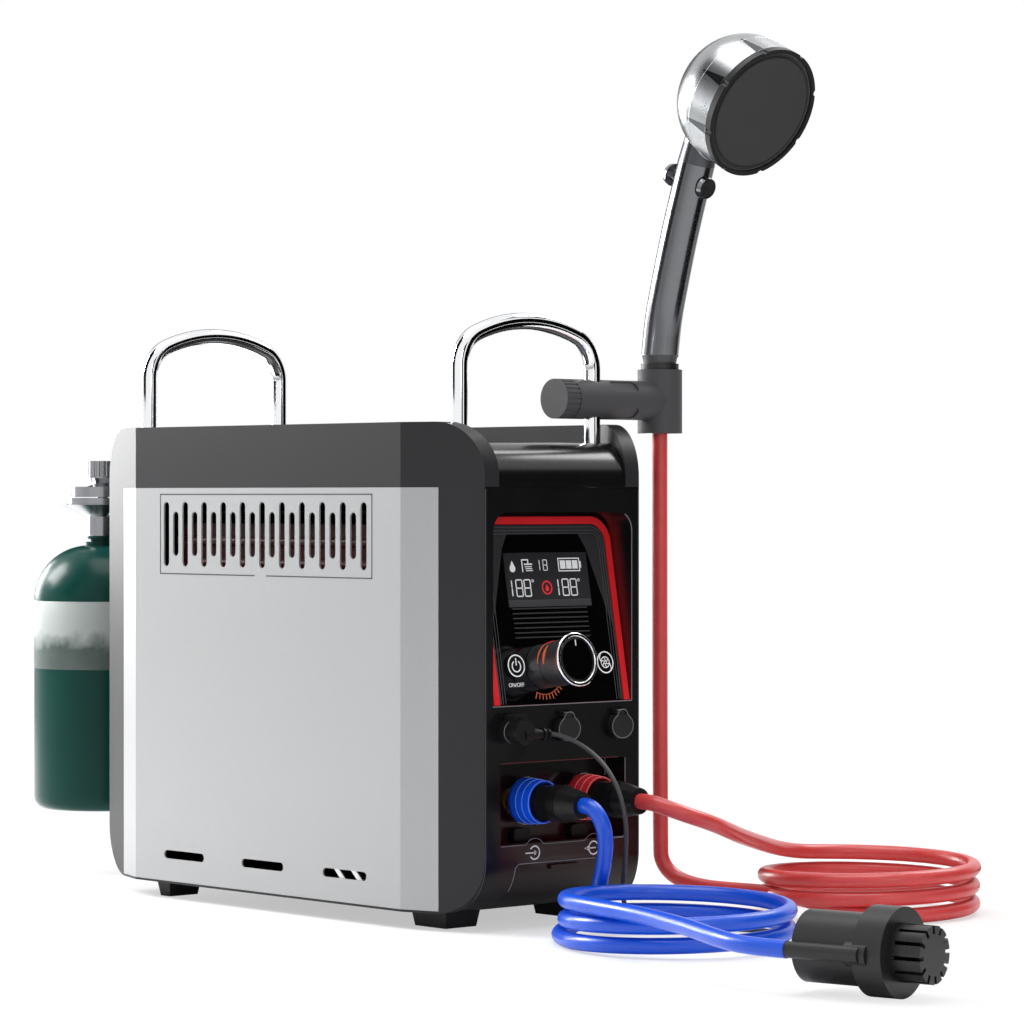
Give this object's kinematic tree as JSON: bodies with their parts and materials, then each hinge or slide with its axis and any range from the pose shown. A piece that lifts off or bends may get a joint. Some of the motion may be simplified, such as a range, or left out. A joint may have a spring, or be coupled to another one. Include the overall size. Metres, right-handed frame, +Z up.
{
  "type": "portable propane water heater",
  "caption": "Floor-standing instant water heater on a small propane cylinder, with control panel, carrying handles, shower handset on a clamp holder and a pump on its inlet hose.",
  "frame": {"origin": "on the floor under the middle of the case, in the plane of the feet's undersides", "axes": "+Z up, the control panel faces -Y, +X to the right of someone facing the panel"},
  "size_m": [0.4224, 0.9385, 0.5671],
  "materials": {
    "frame_plastic": "moulded dark grey plastic with a fine texture",
    "sheet_silver": "silver paint on folded steel sheet",
    "cover_black": "glossy black moulded plastic",
    "steel": "bright zinc-plated steel",
    "rubber_black": "matte black rubber",
    "chrome": "polished chrome plate",
    "trim_red": "glossy red film",
    "window": "clear dark display window",
    "board_green": "green solder resist",
    "knob_black": "satin black plastic with a bright rim",
    "button_black": "black plastic with a white ring",
    "socket_black": "matte black plastic",
    "brass": "plain brass",
    "collar_blue": "blue moulded plastic",
    "collar_red": "red moulded plastic",
    "battery_grey": "dark grey plastic",
    "exchanger_metal": "soft copper-coloured metal",
    "sheet_inner": "plain steel sheet",
    "valve_aluminium": "die-cast aluminium",
    "cylinder_green": "dark green paint on steel",
    "dial_steel": "polished steel dial",
    "holder_grey": "dark grey plastic",
    "handset_black": "glossy black plastic with chrome rings",
    "button_grey": "dark grey plastic",
    "head_chrome": "chrome plate on plastic",
    "face_grey": "dark grey spray plate",
    "hose_red": "glossy red polyurethane hose",
    "hose_blue": "glossy blue polyurethane hose",
    "cable_black": "black cable jacket"
  },
  "bodies": {
    "case": {"base_plate": "frame_plastic", "battery_pack": "battery_grey", "blower_housing": "frame_plastic", "blue_coil": "hose_blue", "blue_hose": "hose_blue", "blue_lead": "hose_blue", "burner": "steel", "case_screws": "steel", "circuit_boards": "board_green", "combustion_chamber": "sheet_inner", "connector_bodies": "chrome", "control_panel": "cover_black", "display_window": "window", "feet": "rubber_black", "front_shell": "cover_black", "fuse_holder": "socket_black", "gas_valve": "valve_aluminium", "handle_brackets": "steel", "handle_front": "chrome", "handle_rear": "chrome", "heat_exchanger": "exchanger_metal", "holder_body": "holder_grey", "hose_nuts": "socket_black", "panel_trim": "trim_red", "power_sockets": "socket_black", "pump_body": "socket_black", "pump_cable": "cable_black", "pump_plug": "socket_black", "pump_strainer": "socket_black", "rear_shell": "frame_plastic", "red_coil": "hose_red", "red_hose": "hose_red", "red_riser": "hose_red", "regulator_body": "chrome", "side_frame_left": "frame_plastic", "side_frame_right": "frame_plastic", "side_panel_left": "sheet_silver", "side_panel_right": "sheet_silver", "top_cover": "cover_black", "water_fittings": "brass", "water_pipes": "brass"},
    "knob": {"temperature_knob": "knob_black"},
    "power_switch": {"power_button": "button_black"},
    "pump_switch": {"pump_button": "button_black"},
    "fuse_lid": {"fuse_cap": "rubber_black"},
    "dc_lid": {"dc_cap": "rubber_black"},
    "blue_collar": {"inlet_collar": "collar_blue"},
    "red_collar": {"outlet_collar": "collar_red"},
    "left_drain": {"drain_plug_left": "socket_black"},
    "right_drain": {"drain_plug_right": "socket_black"},
    "battery_lid": {"battery_door": "cover_black"},
    "gas_knob": {"regulator_knob": "dial_steel"},
    "cylinder": {"propane_cylinder": "cylinder_green"},
    "handset": {"handset_handle": "handset_black", "shower_head": "head_chrome", "spray_face": "face_grey"},
    "pause_button": {"pause_valve": "button_grey"},
    "selector": {"spray_ring": "face_grey"},
    "clamp_knob": {"holder_knob": "holder_grey"},
    "impeller": {"blower_impeller": "frame_plastic"}
  },
  "joints": [
    {"name": "knob_turn", "type": "hinge", "parent": "case", "child": "knob", "pos_m": [-0.0136, -0.18994, 0.1635], "axis": [0, -0.9848, 0.1736], "range_deg": [-135, 135]},
    {"name": "power_press", "type": "slide", "parent": "case", "child": "power_switch", "axis": [0, 0.9848, -0.1736], "range_m": [0, 0.0015], "stiffness_N_per_m": 600, "springref_m": -0.001},
    {"name": "pump_press", "type": "slide", "parent": "case", "child": "pump_switch", "axis": [0, 0.9848, -0.1736], "range_m": [0, 0.0015], "stiffness_N_per_m": 600, "springref_m": -0.001},
    {"name": "fuse_lid_swing", "type": "hinge", "parent": "case", "child": "fuse_lid", "pos_m": [0.0007, -0.1974, 0.134], "axis": [-1, 0, 0], "range_deg": [0, 110]},
    {"name": "dc_lid_swing", "type": "hinge", "parent": "case", "child": "dc_lid", "pos_m": [0.0469, -0.1974, 0.134], "axis": [-1, 0, 0], "range_deg": [0, 110]},
    {"name": "blue_collar_slide", "type": "slide", "parent": "case", "child": "blue_collar", "axis": [0, -1, 0], "range_m": [0, 0.003], "stiffness_N_per_m": 800, "springref_m": -0.002},
    {"name": "red_collar_slide", "type": "slide", "parent": "case", "child": "red_collar", "axis": [0, -1, 0], "range_m": [0, 0.003], "stiffness_N_per_m": 800, "springref_m": -0.002},
    {"name": "left_drain_pull", "type": "slide", "parent": "case", "child": "left_drain", "axis": [0, -1, 0], "range_m": [0, 0.01]},
    {"name": "right_drain_pull", "type": "slide", "parent": "case", "child": "right_drain", "axis": [0, -1, 0], "range_m": [0, 0.01]},
    {"name": "battery_lid_pull", "type": "slide", "parent": "case", "child": "battery_lid", "axis": [0, -1, 0], "range_m": [0, 0.025]},
    {"name": "gas_knob_turn", "type": "hinge", "parent": "case", "child": "gas_knob", "pos_m": [0, 0.2938, 0.27], "axis": [0, 0, 1], "range_deg": [0, 330]},
    {"name": "cylinder_turn", "type": "hinge", "parent": "case", "child": "cylinder", "pos_m": [0, 0.2938, 0.2413], "axis": [0, 0, 1], "range_deg": [0, 1080]},
    {"name": "handset_turn", "type": "hinge", "parent": "case", "child": "handset", "pos_m": [0.1182, -0.161, 0.333], "axis": [0, 0, 1], "range_deg": [-90, 90]},
    {"name": "pause_press", "type": "slide", "parent": "handset", "child": "pause_button", "axis": [0, -0.9439, -0.3304], "range_m": [0, 0.005]},
    {"name": "selector_turn", "type": "hinge", "parent": "handset", "child": "selector", "pos_m": [0.1182, -0.2503, 0.5173], "axis": [0, -0.8859, -0.4639], "range_deg": [0, 120]},
    {"name": "clamp_knob_turn", "type": "hinge", "parent": "case", "child": "clamp_knob", "pos_m": [0.0296, -0.161, 0.333], "axis": [1, 0, 0], "range_deg": [0, 360]},
    {"name": "impeller_spin", "type": "hinge", "parent": "case", "child": "impeller", "pos_m": [0, 0.14, 0.047], "axis": [1, 0, 0], "continuous": true}
  ]
}
